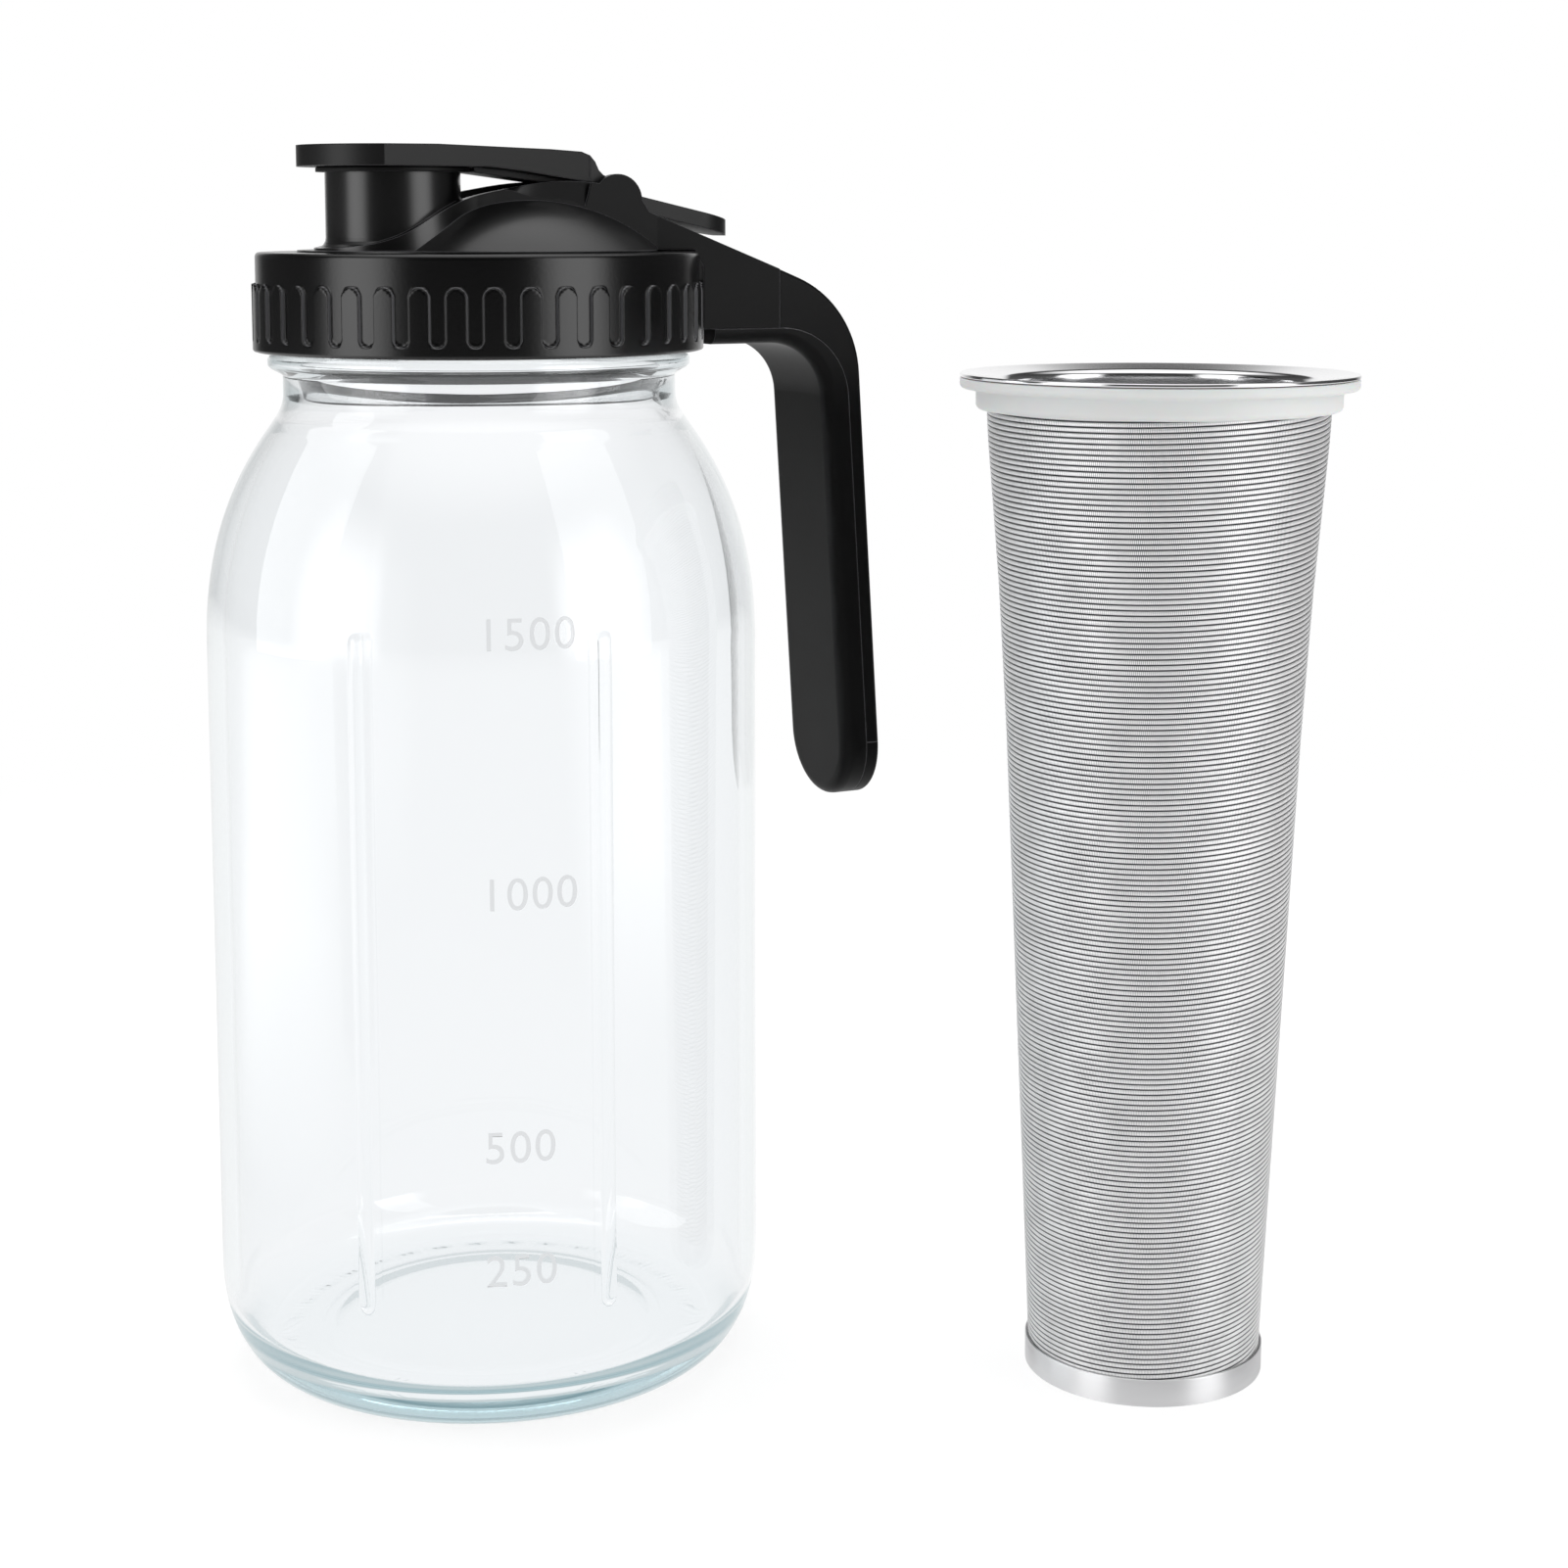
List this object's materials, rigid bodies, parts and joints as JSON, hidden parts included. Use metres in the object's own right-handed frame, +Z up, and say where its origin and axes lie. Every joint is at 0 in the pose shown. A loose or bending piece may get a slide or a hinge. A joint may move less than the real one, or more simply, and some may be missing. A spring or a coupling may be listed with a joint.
{
  "type": "cold brew coffee maker",
  "caption": "Glass jug with a threaded band, pouring lid with rocker spout cap and side handle, and a tapered steel mesh brewing filter with a silicone seal.",
  "frame": {"origin": "on the table, in the middle of the box around the jar and the filter that stands beside it", "axes": "+Z up; +X from the jar towards the filter; the graduated front of the jar faces -Y"},
  "size_m": [0.2404, 0.116, 0.259],
  "materials": {
    "clear_glass": "clear pressed glass, faintly green at the foot",
    "black_plastic": "satin black moulded polypropylene",
    "black_silicone": "smooth black silicone",
    "white_silicone": "milky white silicone",
    "polished_steel": "polished stainless steel",
    "satin_steel": "satin stainless steel",
    "woven_steel": "fine dutch weave stainless steel cloth",
    "pin_steel": "plain steel"
  },
  "bodies": {
    "jar": {"glass_jar": "clear_glass"},
    "lid": {"lid_body": "black_plastic", "lid_gasket": "black_silicone", "hinge_pin": "pin_steel", "handle_shell": "black_plastic", "handle_cover": "black_plastic", "handle_end_cap": "black_plastic", "handle_screws": "pin_steel"},
    "band": {"screw_band": "black_plastic"},
    "spout_cap": {"flip_cap": "black_plastic", "cap_plug": "black_silicone"},
    "filter": {"filter_rim": "polished_steel", "filter_seal": "white_silicone", "filter_collar": "satin_steel", "filter_mesh": "woven_steel", "filter_base_band": "satin_steel", "filter_base_disc": "satin_steel"}
  },
  "joints": [
    {"name": "lid_lift", "type": "slide", "parent": "jar", "child": "lid", "axis": [0, 0, 1], "range_m": [0, 0.00508]},
    {"name": "band_turn", "type": "hinge", "parent": "lid", "child": "band", "pos_m": [-0.0622, 0, 0.2268], "axis": [0, 0, 1], "range_deg": [0, 360]},
    {"name": "cap_tilt", "type": "hinge", "parent": "lid", "child": "spout_cap", "pos_m": [-0.03814, 0.01226, 0.2478], "axis": [-0.454, 0.891, 0], "range_deg": [0, 10]},
    {"name": "filter_lift", "type": "slide", "parent": "jar", "child": "filter", "axis": [0, 0, 1], "range_m": [0, 0.235]}
  ],
  "couplings": [
    {"joint": "lid_lift", "follows": "band_turn", "m_per_rad": 0.0008085}
  ]
}
